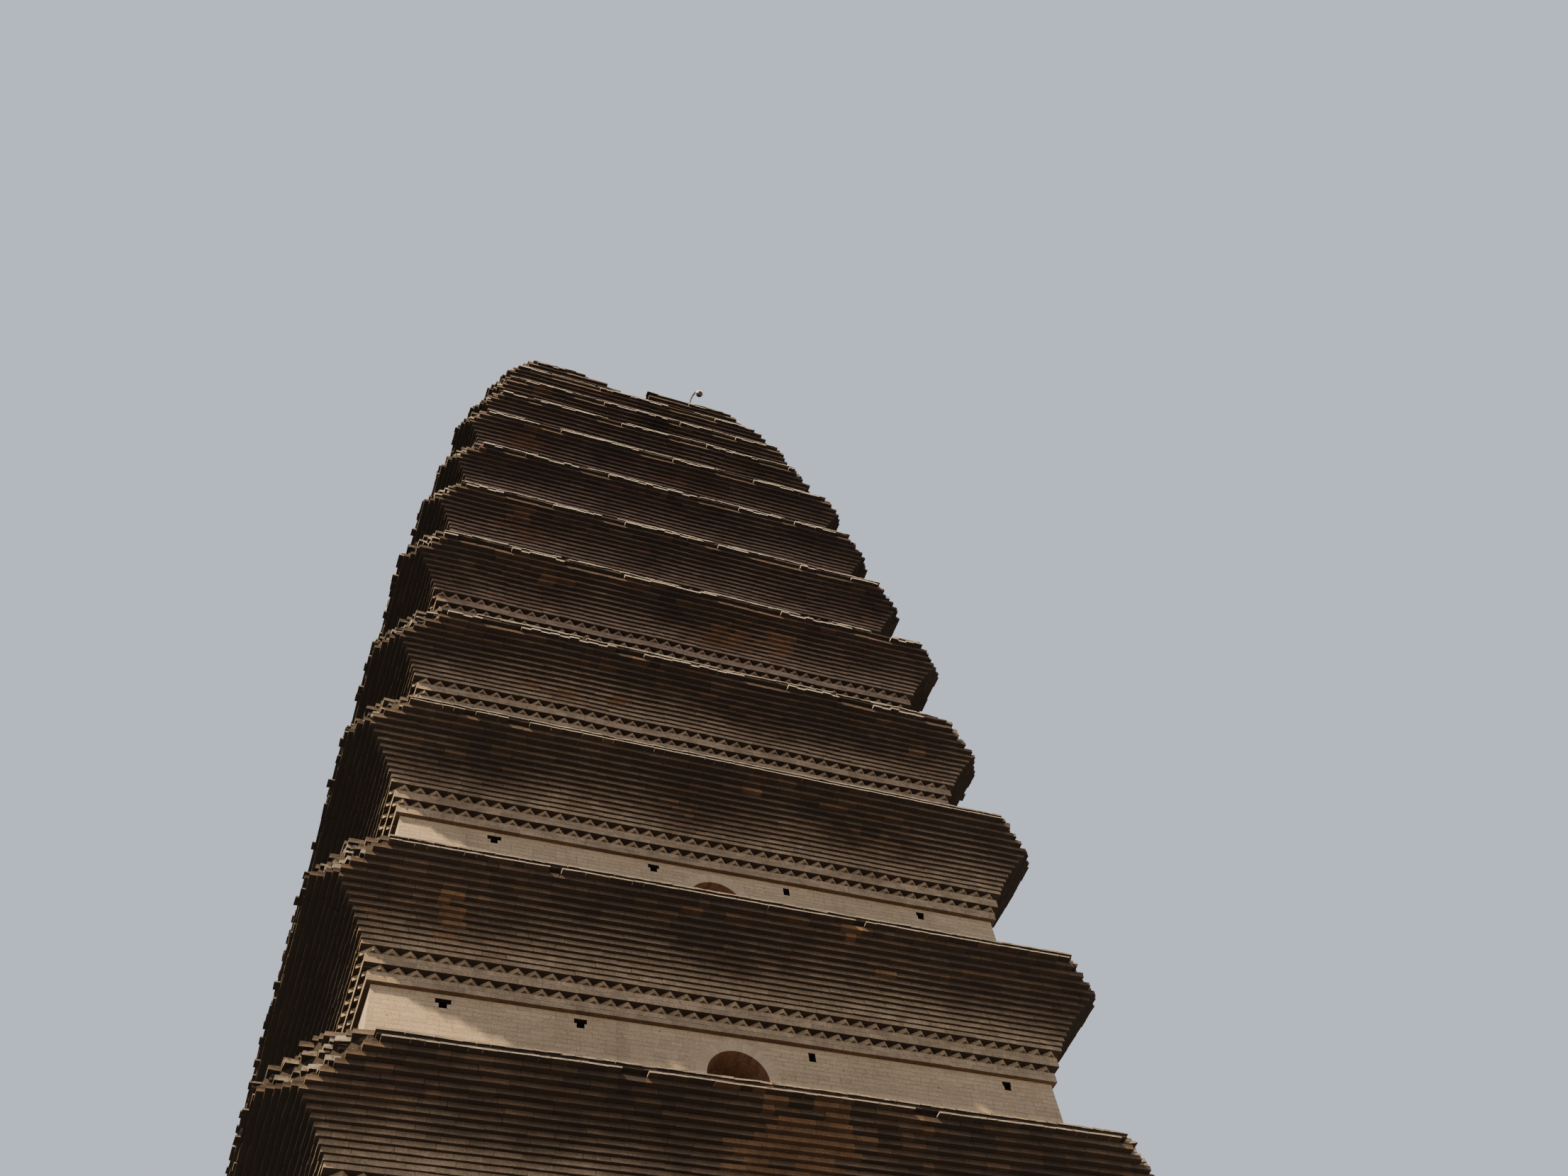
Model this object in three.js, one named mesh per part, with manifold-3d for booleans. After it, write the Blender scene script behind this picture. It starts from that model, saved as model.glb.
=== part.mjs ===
// A square, close-eaved brick pagoda of thirteen storeys, as a half-scale model.
// Millimetres, +Z up. The origin is on the ground under the tower's axis, and the
// front, with a doorway and a column of arched windows, looks along -Y.

import * as THREE from 'three';
import { mergeVertices } from 'three/addons/utils/BufferGeometryUtils.js';
import Module from 'manifold-3d';

const wasm = await Module();
wasm.setup();

// Sizes of the real tower, brought to the model's scale
const SCALE = 1 / 2;
const full = (mm) => mm * SCALE;

// Courses of brick from the top of each eave's edge to the next, counted from the terrace
const STOREY_COURSES = [95, 47, 45, 44, 38, 38, 33, 32, 29, 25, 22, 21, 19];
const STOREYS = STOREY_COURSES.length;
const COURSE = full(79);
const GAP = 0.3;

// Terrace and its two flights of steps
const TERRACE_HALF = full(11690);
const TERRACE_HEIGHT = full(3200);
const COPING_HEIGHT = full(200);
const COPING_WIDTH = full(600);
const COPING_OVERHANG = full(60);
const STAIR_HALF_WIDTH = full(1700);
const STAIR_STEPS = 16;
const STAIR_TREAD = full(310);
const CHEEK_WIDTH = full(350);

// Half widths of the walls
const GROUND_HALF = full(5690);
const SECOND_HALF = full(5340);
const HALF_LOST = full(2340);
const TAPER_CURVE = 1.68;

// Eaves: two flat bands with rows of corner bricks, then corbelled courses
const CORBEL_COURSES = 15.6;
const CORBEL_LOST = 0.8;
const REACH_THIRD = full(1215);
const REACH_LOST = full(63);
const REACH_GROUND = full(1300);
const BAND_REACH = [full(90), full(165)];
const TOOTH_RECESS = full(45);
const FIRST_CORBEL_REACH = full(235);
const CORBEL_GROWTH = 0.55;
const NARROW_CORNICE_FROM = 9;
const LIP_SETBACK = full(30);
const ROOF_STEP = full(330);
const ROOF_STEP_COURSES = 2;

// Broken corners of the eaves
const CORNER_LOSS_SHARE = 0.9;
const CORNER_LOSS_STEP = full(250);
const CORNER_WEAR = 0.18;
const WEAR_PER_STOREY = 2.3;
const WEAR_PER_CORNER = 1.9;
const WEAR_PHASE = 3.03;

// Rooms, floors and the walls' least thickness
const ROOM_HALF = full(2120);
const LEAST_WALL = full(1600);
const LEDGE = full(150);
const FLOOR_THICKNESS = full(70);

// Openings
const WINDOW_HALF = full(500);
const WINDOW_SILL_COURSES = 1;
const WINDOW_HEAD_SHARE = 3 / 18;
const WINDOW_SQUATNESS = 0.8;
const DOOR_HALF = full(900);
const DOOR_SPRING = full(2300);
const DOOR_FRAME_FACE = full(240);
const DOOR_FRAME_DEPTH = full(700);
const DOOR_FRAME_SETBACK = full(260);
const ARCH_STEPS = 8;

// Ruined top and the lamp on it
const RUIN_LAYERS = [
  { half: full(2900), height: full(450), shift: full(0) },
  { half: full(2350), height: full(450), shift: full(120) },
  { half: full(1600), height: full(510), shift: full(-260) },
];
const RUIN_CORNERS = [0.3, 0.12, 0.36, 0.18];
const RUIN_CORNERS_GROWTH = 1 / 3;
const GAP_LEFT = full(-1400);
const GAP_RIGHT = full(540);
const GAP_DEPTH = full(520);
const GAP_COURSES = 3;
const LAMP_X = full(1750);
const ARM_RADIUS = full(30);
const ARM_RISE = full(620);
const ARM_DROP = full(300);
const ARM_REACH = full(380);
const ARM_FOOT = full(50);
const LAMP_RADIUS = full(150);
const LAMP_COLLAR = full(30);
const LAMP_RINGS = 7;

// Materials
const finish = (color, roughness, metalness = 0) =>
  new THREE.MeshStandardMaterial({ color, roughness, metalness });

const wallBrick = finish(0xb8a690, 0.92);
const eaveBrick = finish(0x75675a, 0.95);
const terraceBrick = finish(0x8d8577, 0.93);
const dressedStone = finish(0x9d9a92, 0.8);
const floorTimber = finish(0x6b4a32, 0.75);
const greyMetal = finish(0xc9cccf, 0.45, 0.6);
const lampShell = finish(0xe4e5e3, 0.35);

// Booleans
function solid(geometry) {
  const bare = geometry.index ? geometry.toNonIndexed() : geometry.clone();
  bare.deleteAttribute('normal');
  bare.deleteAttribute('uv');
  const merged = mergeVertices(bare, 1e-4);
  const mesh = new wasm.Mesh({
    numProp: 3,
    vertProperties: new Float32Array(merged.attributes.position.array),
    triVerts: new Uint32Array(merged.index.array),
  });
  return new wasm.Manifold(mesh);
}

function geometryOf(body) {
  const mesh = body.getMesh();
  const geometry = new THREE.BufferGeometry();
  geometry.setAttribute('position', new THREE.BufferAttribute(mesh.vertProperties, 3));
  geometry.setIndex(new THREE.BufferAttribute(mesh.triVerts, 1));
  geometry.computeVertexNormals();
  return geometry;
}

const join = (bodies) => bodies.reduce((sum, body) => sum.add(body));

function block(x0, x1, y0, y1, z0, z1) {
  const box = new THREE.BoxGeometry(x1 - x0, y1 - y0, z1 - z0);
  box.translate((x0 + x1) / 2, (y0 + y1) / 2, (z0 + z1) / 2);
  return solid(box);
}

// A square outline whose four corners are cut back, counted from the front right
function squareOutline(half, cuts = [0, 0, 0, 0]) {
  const corners = [[1, -1], [1, 1], [-1, 1], [-1, -1]];
  const arriving = [[1, 0], [0, 1], [-1, 0], [0, -1]];
  const leaving = [[0, 1], [-1, 0], [0, -1], [1, 0]];
  const points = [];
  corners.forEach(([x, y], i) => {
    const corner = new THREE.Vector2(x * half, y * half);
    const back = new THREE.Vector2(...arriving[i]).multiplyScalar(-cuts[i]);
    const on = new THREE.Vector2(...leaving[i]).multiplyScalar(cuts[i]);
    points.push(corner.clone().add(back));
    if (cuts[i] > 0) points.push(corner.clone().add(on));
  });
  return points;
}

function ring(half, hole, z0, z1, cuts) {
  const shape = new THREE.Shape(squareOutline(half, cuts));
  if (hole > 0) shape.holes.push(new THREE.Path(squareOutline(hole)));
  const geometry = new THREE.ExtrudeGeometry(shape, { depth: z1 - z0, bevelEnabled: false });
  geometry.translate(0, 0, z0);
  return solid(geometry);
}

// An arched bar that runs along Y, for cutting windows and doorways
function archBar(half, sill, spring, y0, y1) {
  const shape = new THREE.Shape();
  shape.moveTo(-half, sill);
  shape.lineTo(half, sill);
  shape.lineTo(half, spring);
  for (let i = 1; i < ARCH_STEPS; i += 1) {
    const angle = (Math.PI * i) / ARCH_STEPS;
    shape.lineTo(half * Math.cos(angle), spring + half * Math.sin(angle));
  }
  shape.lineTo(-half, spring);
  shape.closePath();
  const geometry = new THREE.ExtrudeGeometry(shape, { depth: y1 - y0, bevelEnabled: false });
  geometry.rotateX(Math.PI / 2);
  geometry.translate(0, y1, 0);
  return solid(geometry);
}

// Storeys from the ground up, and how far each one is from the second towards the last
const share = (storey) => (storey - 2) / (STOREYS - 2);

function wallHalf(storey) {
  if (storey === 1) return GROUND_HALF;
  return SECOND_HALF - HALF_LOST * share(storey) ** TAPER_CURVE;
}

function eaveReach(storey) {
  if (storey === 1) return REACH_GROUND;
  return REACH_THIRD - REACH_LOST * (storey - 3);
}

function edgeTop(storey) {
  const courses = STOREY_COURSES.slice(0, storey).reduce((sum, count) => sum + count);
  return TERRACE_HEIGHT + courses * COURSE;
}

const bandCourses = (storey) => (storey < NARROW_CORNICE_FROM ? 2 : 1);
const corniceCourses = (storey) => 2 * (bandCourses(storey) + 1);
const corbelCourses = (storey) => Math.round(CORBEL_COURSES - CORBEL_LOST * Math.max(0, storey - 2));
const roofSteps = (storey) => Math.max(1, Math.floor(eaveReach(storey) / ROOF_STEP));
const roofCourses = (storey) => 1 + roofSteps(storey) * ROOF_STEP_COURSES;
const roofSetback = (storey) => (eaveReach(storey) - LIP_SETBACK) / (roofSteps(storey) + 1);

function wallBase(storey) {
  if (storey === 1) return TERRACE_HEIGHT;
  return edgeTop(storey - 1) + roofCourses(storey - 1) * COURSE;
}

function wallTop(storey) {
  return edgeTop(storey) - (corniceCourses(storey) + corbelCourses(storey)) * COURSE;
}

const roomHalf = (storey) => Math.min(ROOM_HALF, wallHalf(storey) - LEAST_WALL);

// How far each corbelled course stands out from the wall: the steps grow upwards
function corbelReach(storey, index) {
  const last = corbelCourses(storey) - 1;
  const mean = (eaveReach(storey) - FIRST_CORBEL_REACH) / last;
  const growth = (index * (index - 1)) / (last - 1);
  return FIRST_CORBEL_REACH + mean * ((1 - CORBEL_GROWTH) * index + CORBEL_GROWTH * growth);
}

// How much of each corner has fallen away, most at the edge of the eave
function cornerCuts(storey, below, setback) {
  return [0, 1, 2, 3].map((corner) => {
    const turn = WEAR_PER_STOREY * storey + WEAR_PER_CORNER * corner - WEAR_PHASE;
    const loss = CORNER_LOSS_SHARE * eaveReach(storey) * (1 + CORNER_WEAR * Math.sin(turn));
    return Math.max(0, loss - below * CORNER_LOSS_STEP - 2 * setback);
  });
}

function terrace() {
  const inner = TERRACE_HALF - COPING_WIDTH + COPING_OVERHANG;
  const shoulder = TERRACE_HEIGHT - COPING_HEIGHT;
  const core = join([
    ring(TERRACE_HALF, 0, 0, shoulder),
    ring(inner - GAP, 0, shoulder - COURSE, TERRACE_HEIGHT),
  ]);
  const coping = ring(TERRACE_HALF + COPING_OVERHANG, inner, shoulder, TERRACE_HEIGHT);
  return { core, coping };
}

// A flight of solid steps between two sloping cheek walls, built for the front
function stair() {
  const rise = (TERRACE_HEIGHT - COPING_HEIGHT) / STAIR_STEPS;
  const foot = -TERRACE_HALF - GAP;
  const run = STAIR_STEPS * STAIR_TREAD;
  const treads = [];
  for (let i = 0; i < STAIR_STEPS; i += 1) {
    const front = foot - run + i * STAIR_TREAD;
    treads.push(block(-STAIR_HALF_WIDTH, STAIR_HALF_WIDTH, front, foot, 0, (i + 1) * rise));
  }
  const side = new THREE.Shape();
  side.moveTo(foot, 0);
  side.lineTo(foot, STAIR_STEPS * rise);
  side.lineTo(foot - STAIR_TREAD, STAIR_STEPS * rise);
  side.lineTo(foot - run - STAIR_TREAD, rise);
  side.lineTo(foot - run - STAIR_TREAD, 0);
  side.closePath();
  const cheeks = [-1, 1].map((sign) => {
    const cheek = new THREE.ExtrudeGeometry(side, { depth: CHEEK_WIDTH, bevelEnabled: false });
    cheek.rotateX(Math.PI / 2);
    cheek.rotateZ(Math.PI / 2);
    const start = sign > 0 ? STAIR_HALF_WIDTH : -STAIR_HALF_WIDTH - CHEEK_WIDTH;
    cheek.translate(start, 0, 0);
    return solid(cheek);
  });
  return join([...treads, ...cheeks]);
}

function windowArch(storey) {
  const courses = Math.round((wallTop(storey) - wallBase(storey)) / COURSE);
  const sill = wallBase(storey) + WINDOW_SILL_COURSES * COURSE;
  const apex = wallTop(storey) - Math.round(courses * WINDOW_HEAD_SHARE) * COURSE;
  const widest = (WINDOW_HALF * wallHalf(storey)) / SECOND_HALF;
  const half = Math.min(widest, WINDOW_SQUATNESS * (apex - sill));
  return { half, sill, spring: apex - half };
}

function wall(storey) {
  const half = wallHalf(storey);
  const body = ring(half, roomHalf(storey), wallBase(storey), wallTop(storey));
  const reach = half + COURSE;
  if (storey === 1) {
    const spring = TERRACE_HEIGHT + DOOR_SPRING;
    return body.subtract(archBar(DOOR_HALF, TERRACE_HEIGHT - COURSE, spring, -reach, reach));
  }
  const { half: light, sill, spring } = windowArch(storey);
  return body.subtract(archBar(light, sill, spring, -reach, reach));
}

function eave(storey) {
  const half = wallHalf(storey);
  const hole = roomHalf(Math.min(storey + 1, STOREYS)) - LEDGE;
  const band = bandCourses(storey);
  const corbels = corbelCourses(storey);
  const parts = [];
  let z = wallTop(storey);
  const lay = (reach, courses, cuts) => {
    parts.push(ring(half + reach, hole, z, z + courses * COURSE, cuts));
    z += courses * COURSE;
  };
  BAND_REACH.forEach((reach) => {
    lay(reach, band);
    lay(reach - TOOTH_RECESS, 1);
  });
  for (let i = 0; i < corbels; i += 1) {
    lay(corbelReach(storey, i), 1, cornerCuts(storey, corbels - 1 - i, 0));
  }
  for (let i = 0; i <= roofSteps(storey); i += 1) {
    const setback = LIP_SETBACK + i * roofSetback(storey);
    lay(eaveReach(storey) - setback, i === 0 ? 1 : ROOF_STEP_COURSES, cornerCuts(storey, 0, setback));
  }
  const body = join(parts);
  if (storey < STOREYS) return body;
  const edge = half + eaveReach(storey);
  const bottom = edgeTop(storey) - GAP_COURSES * COURSE;
  return body.subtract(block(GAP_LEFT, GAP_RIGHT, -edge - COURSE, GAP_DEPTH - edge, bottom, z + COURSE));
}

function floor(storey) {
  const base = wallBase(storey);
  return ring(roomHalf(storey) - GAP, 0, base, base + FLOOR_THICKNESS);
}

function doorFrame() {
  const front = -GROUND_HALF + DOOR_FRAME_SETBACK;
  const back = front + DOOR_FRAME_DEPTH;
  const spring = TERRACE_HEIGHT + DOOR_SPRING;
  const clear = DOOR_HALF - DOOR_FRAME_FACE;
  const outer = archBar(DOOR_HALF - GAP, TERRACE_HEIGHT, spring, front, back);
  const inner = archBar(clear, TERRACE_HEIGHT - COURSE, spring, front - COURSE, back + COURSE);
  return outer.subtract(inner);
}

const summit = edgeTop(STOREYS) + roofCourses(STOREYS) * COURSE;

function ruinedTop() {
  let z = summit;
  const layers = RUIN_LAYERS.map(({ half, height, shift }, i) => {
    const cuts = RUIN_CORNERS.map((part) => half * part * (1 + RUIN_CORNERS_GROWTH * i));
    const layer = ring(half, 0, z, z + height, cuts).translate([shift, shift / 2, 0]);
    z += height;
    return layer;
  });
  return join(layers);
}

// A bent arm that stands on the front edge of the top and carries the lamp at its drooping end
function lampFoot() {
  const reach = wallHalf(STOREYS) + eaveReach(STOREYS) - LIP_SETBACK;
  return new THREE.Vector3(LAMP_X, -reach + roofSetback(STOREYS) / 2, edgeTop(STOREYS) + COURSE);
}

function lampHook() {
  return lampFoot().add(new THREE.Vector3(ARM_REACH / 2, -ARM_REACH, ARM_DROP));
}

function lampArm() {
  const foot = lampFoot();
  const hook = lampHook();
  const bend = new THREE.CubicBezierCurve3(
    foot,
    new THREE.Vector3(foot.x, foot.y, foot.z + ARM_RISE),
    new THREE.Vector3(hook.x, hook.y, foot.z + ARM_RISE),
    hook,
  );
  const section = new THREE.Shape();
  section.absarc(0, 0, ARM_RADIUS, 0, 2 * Math.PI);
  const tube = new THREE.ExtrudeGeometry(section, { steps: 7, curveSegments: 4, extrudePath: bend });
  const plate = new THREE.CylinderGeometry(ARM_FOOT, ARM_FOOT, ARM_RADIUS, 12);
  plate.rotateX(Math.PI / 2);
  plate.translate(foot.x, foot.y, foot.z + ARM_RADIUS / 2);
  return join([solid(tube), solid(plate)]);
}

function lampHead() {
  const hook = lampHook();
  const collar = LAMP_RADIUS + LAMP_COLLAR;
  const profile = [new THREE.Vector2(0, -LAMP_RADIUS)];
  for (let i = 1; i < LAMP_RINGS; i += 1) {
    const angle = (Math.PI * i) / LAMP_RINGS - Math.PI / 2;
    profile.push(new THREE.Vector2(LAMP_RADIUS * Math.cos(angle), LAMP_RADIUS * Math.sin(angle)));
  }
  profile.push(new THREE.Vector2(ARM_FOOT, LAMP_RADIUS));
  profile.push(new THREE.Vector2(ARM_FOOT, collar));
  profile.push(new THREE.Vector2(0, collar));
  const dome = new THREE.LatheGeometry(profile, 12);
  dome.rotateX(Math.PI / 2);
  dome.translate(hook.x, hook.y, hook.z - collar - GAP);
  return solid(dome);
}

// The assembly
const pagoda = new THREE.Group();

function place(name, body, material) {
  const mesh = new THREE.Mesh(geometryOf(body), material);
  mesh.name = name;
  pagoda.add(mesh);
  return mesh;
}

const { core, coping } = terrace();
place('terrace_core', core, terraceBrick);
place('terrace_coping', coping, dressedStone);
place('south_stair', stair(), dressedStone);
place('north_stair', stair(), dressedStone).rotation.z = Math.PI;
place('south_door_frame', doorFrame(), dressedStone);
place('north_door_frame', doorFrame(), dressedStone).rotation.z = Math.PI;

for (let storey = 1; storey <= STOREYS; storey += 1) {
  place(`storey_${storey}_wall`, wall(storey), wallBrick);
  place(`storey_${storey}_eave`, eave(storey), eaveBrick);
  if (storey > 1) place(`storey_${storey}_floor`, floor(storey), floorTimber);
}

place('ruined_top', ruinedTop(), eaveBrick);
place('lamp_arm', lampArm(), greyMetal);
place('lamp_head', lampHead(), lampShell);

export default pagoda;
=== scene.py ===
import math
import random
from collections import namedtuple
from itertools import product

import bmesh
import bpy
from mathutils import Matrix, Vector, noise


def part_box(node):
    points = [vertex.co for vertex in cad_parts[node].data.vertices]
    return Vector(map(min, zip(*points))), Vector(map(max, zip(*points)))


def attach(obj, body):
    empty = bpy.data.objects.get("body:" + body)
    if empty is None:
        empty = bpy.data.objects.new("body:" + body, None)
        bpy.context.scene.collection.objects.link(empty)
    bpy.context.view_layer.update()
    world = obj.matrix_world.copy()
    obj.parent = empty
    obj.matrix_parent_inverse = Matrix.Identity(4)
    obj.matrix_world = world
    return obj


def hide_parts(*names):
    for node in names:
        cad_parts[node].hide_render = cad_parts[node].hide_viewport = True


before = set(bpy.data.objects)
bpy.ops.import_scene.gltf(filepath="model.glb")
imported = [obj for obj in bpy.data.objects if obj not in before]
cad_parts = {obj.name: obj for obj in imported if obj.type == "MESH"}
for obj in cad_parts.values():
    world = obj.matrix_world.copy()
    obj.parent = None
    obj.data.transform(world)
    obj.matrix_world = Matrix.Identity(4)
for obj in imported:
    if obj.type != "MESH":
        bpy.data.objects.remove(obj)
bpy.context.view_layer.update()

SCALE = 1 / 2


def full(mm):
    """A size of the real tower in millimetres, as metres of the model."""
    return mm * SCALE / 1000


def colour(red, green, blue):
    """A colour given as it looks on a screen, from 0 to 255, as the shader's linear colour."""

    def linear(value):
        share = value / 255
        return share / 12.92 if share <= 0.04045 else ((share + 0.055) / 1.055) ** 2.4

    return (linear(red), linear(green), linear(blue), 1.0)


# Bricks and courses
STOREYS = 13
COURSE = full(79)
BRICK_LENGTH = full(360)
BRICK_WIDTH = full(180)
SHORTEST_BRICK = full(90)
FIRST_LENGTHS = [0.5 * BRICK_LENGTH, 0.75 * BRICK_LENGTH, BRICK_LENGTH]
HEADER_SHARE = 0.3
JOINT = full(2.5)
OPEN_JOINT = full(5)
BED_JOINT = full(3)
DRAWN_JOINT = full(4)
DRAWN_WAVER = full(12)

# Eaves, as the solids have them
BAND_REACH = [full(76), full(152)]
FIRST_CORBEL_REACH = full(235)
CORBEL_GROWTH = 0.55
NARROW_CORNICE_FROM = 9
LIP_SETBACK = full(30)
ROOF_STEP = full(330)
CORNER_LOSS_SHARE = 0.9
CORNER_LOSS_STEP = full(250)
CORNER_WEAR = 0.18
WEAR_PER_STOREY = 2.3
WEAR_PER_CORNER = 1.9
WEAR_PHASE = 3.03
NO_CUTS = [0, 0, 0, 0]
SHAFT_SHARE = 0.9

# How the bricks of the eaves sit and wear
BAND_COURSE = full(87)
TOOTH_COURSE = full(76)
TOOTH_PITCH = BRICK_WIDTH * math.sqrt(2)
TOOTH_POCKET = full(165)
TOOTH_SETBACK = full(20)
CORE_RECESS = full(150)
CORE_DROP = full(45)
CUT_RECESS = full(130)
CUT_JITTER = full(70)
FACE_JITTER = full(2)
EDGE_HEIGHT = full(26)
RAGGED_HEIGHT = full(42)
EDGE_LIFT = full(4)
LIP_EXTRA = full(16)
LIP_HEIGHT = full(30)
LIP_GROOVE = full(22)
GROOVE_HEIGHT = COURSE - LIP_HEIGHT
RIM_SETBACK = full(85)
RAGGED_FROM = 5
WEAR_REACH = full(1)
LOOSENESS = 0.02
SAG_SCALE = 1.6
LOW_SAG = full(14)
HIGH_SAG = full(45)
ROUGH_WEAR = 14

# How far bricks stand back at random, on the front, right, back and left
EDGE_JITTERS = (full(3), full(10), full(8), full(60))
RAGGED_JITTERS = (full(22), full(30), full(25), full(60))
CORBEL_JITTERS = (FACE_JITTER, FACE_JITTER, FACE_JITTER, full(9))
LEFT_SIDE = 3

# Bricks missing from the edges: lengths kept and lost in turn, in bricks, and known gaps
LOW_RUNS = ((5, 22), (0.4, 1.1))
RAGGED_RUNS = ((1.5, 6), (1, 4))
LEFT_RUNS = ((1.2, 5), (0.4, 1.1))
FRONT_GAPS = {
    2: [(full(-2200), full(-1860)), (full(2040), full(2340))],
    3: [(full(-3130), full(-2790)), (full(1820), full(1980))],
    4: [(full(-4460), full(-4300)), (full(-3810), full(-3490))],
}

# How clean of soot bricks are, from 0 to 1. Near 0, as in the groove and the backing, bricks are painted
# near black with soot and painted shade
CLEAN_FOOT = 1.0
# Bands above the first get dark undersides: soot and painted shade in the pockets between the teeth.
CLEAN_BAND = 0.88
CLEAN_CORBEL = 0.8
CLEAN_COURSES = 11
CLEAN_ELSEWHERE = 0.1
CLEAN_GROOVE = 0.02

# How the bricks of each kind of course look
# The whitening values stand for limewash and painted highlight on the bricks.
COURSE_LOOKS = {
    "band": {"wear": 1},
    "corbel": {"wear": 2, "jitters": CORBEL_JITTERS},
    "roof": {"wear": 7, "jitters": FACE_JITTER * 4, "joint": OPEN_JOINT, "lime": 0.15},
}
TOOTH_LOOKS = {"wear": 2, "clean": CLEAN_FOOT}
EDGE_LOOKS = {"wear": 3, "joint": OPEN_JOINT, "headers": 0.85, "lime": 0.85}
RIM_LOOKS = {"wear": 5, "joint": OPEN_JOINT, "headers": 0.85, "lime": 0.65, "jitters": EDGE_JITTERS}
SEAT_LOOKS = {"wear": 6, "lime": 0.1}
RUIN_LOOKS = {"wear": ROUGH_WEAR, "lime": 0.2, "jitters": FACE_JITTER * 6}
# Broken ends are whitened: limewash and painted highlight on the fractures.
BROKEN_LIME_AND_HIGHLIGHT = 0.7

# Patches of like colour, and the places of two that stand out
PATCH_SCALE = 1.1
PATCH_FLATNESS = 1.8
FINE_PATCH_SCALE = 2.3
FINE_PATCH_SHARE = 0.5
RUSSET_PLACE = Vector((full(400), full(-6300), full(14020)))
RUSSET_REACH = full(1000)
RUSSET_PEAK = 1.3
STAIN_PLACE = (full(450), full(-4050), full(38900))
STAIN_REACH = full(600)

# Walls and their openings
SAME_POINT = 1e-5
ARCH_RING = full(165)
ARCH_BACK = full(20)
ARCH_PROUD = full(4)
ARCH_SQUEEZE = 0.972
ARCH_ROWS = 9
WEDGE_GAP = full(1)
DOOR_HALF = full(900)
DOOR_SPRING = full(2300)
WINDOW_HALF = full(500)
WINDOW_WIDTH_SHARE = 0.8
LINTEL_PART = 6
HOLE_BARS = [full(225), full(190), full(110), full(145)]
HOLE_STEM = full(115)
HOLE_DEPTH = full(1100)
HOLE_DROP = full(80)
HOLE_PLACES = [[-0.71, -0.2, 0.25, 0.73], [-0.81, -0.44, 0.23, 0.845]]

# The notch in the front of the topmost eave, as the solids have it
NOTCH = (full(-1400), full(540))
NOTCH_SLOPE = full(480)
NOTCH_DEPTH = full(520)
NOTCH_COURSES = 3

# Terrace, ruined top and lamp
COPING_WIDTH = full(600)
COPING_STONE = full(1150)
COPING_JOINT = full(8)
COPING_BEVEL = full(14)
RUIN_CORNERS = [0.3, 0.12, 0.36, 0.18]
RUIN_HALVES = [full(2900), full(2350), full(1600)]
RUIN_SEATS = [RUIN_HALVES[1] - BRICK_WIDTH, RUIN_HALVES[2] - BRICK_WIDTH, BRICK_WIDTH]
RUIN_CORE_CUT = full(60)
LAMP_SHARE = 0.75
LAMP_RINGS = 12
ROUND_STEPS = 48

# Seeds of the random draws
EAVE_SEED = 100
ARCH_SEED = 700
RUIN_SEED = 900
COPING_SEED = 950

# The camera stands in front of the left part of the terrace and looks steeply up
CAMERA_PLACE = (-3.523, -10.764, 0.8)
CAMERA_HEADING = 30.41
CAMERA_PITCH = 55.95
CAMERA_ROLL = -12.38
LENS = 34.32
SENSOR = 36.0
FARTHEST = 500

# Sun, sky and ground
SUN_TOWARDS = Vector((-0.635, -0.352, 0.688))
SUN_ENERGY = 17.0
SUN_ANGLE = 2.0
SUN_COLOUR = (1.0, 0.74, 0.42)
SKY_COLOUR = (0.77, 0.85, 0.99, 1.0)
SKY_STRENGTH = 0.82
FLOOR_REACH = 150
FLOOR_DROP = 0.002

WHITE = (1.0, 1.0, 1.0, 1.0)
MOSAIC = [
    (0.0, colour(52, 43, 47)), (0.25, colour(82, 65, 54)), (0.48, colour(62, 51, 51)),
    (0.64, colour(98, 77, 61)), (0.8, colour(78, 70, 58)), (0.92, colour(116, 88, 67)),
]

Course = namedtuple("Course", "kind face bottom height cuts clean")
Brick = namedtuple("Brick", "place size turn wear lime clean patch")


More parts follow.
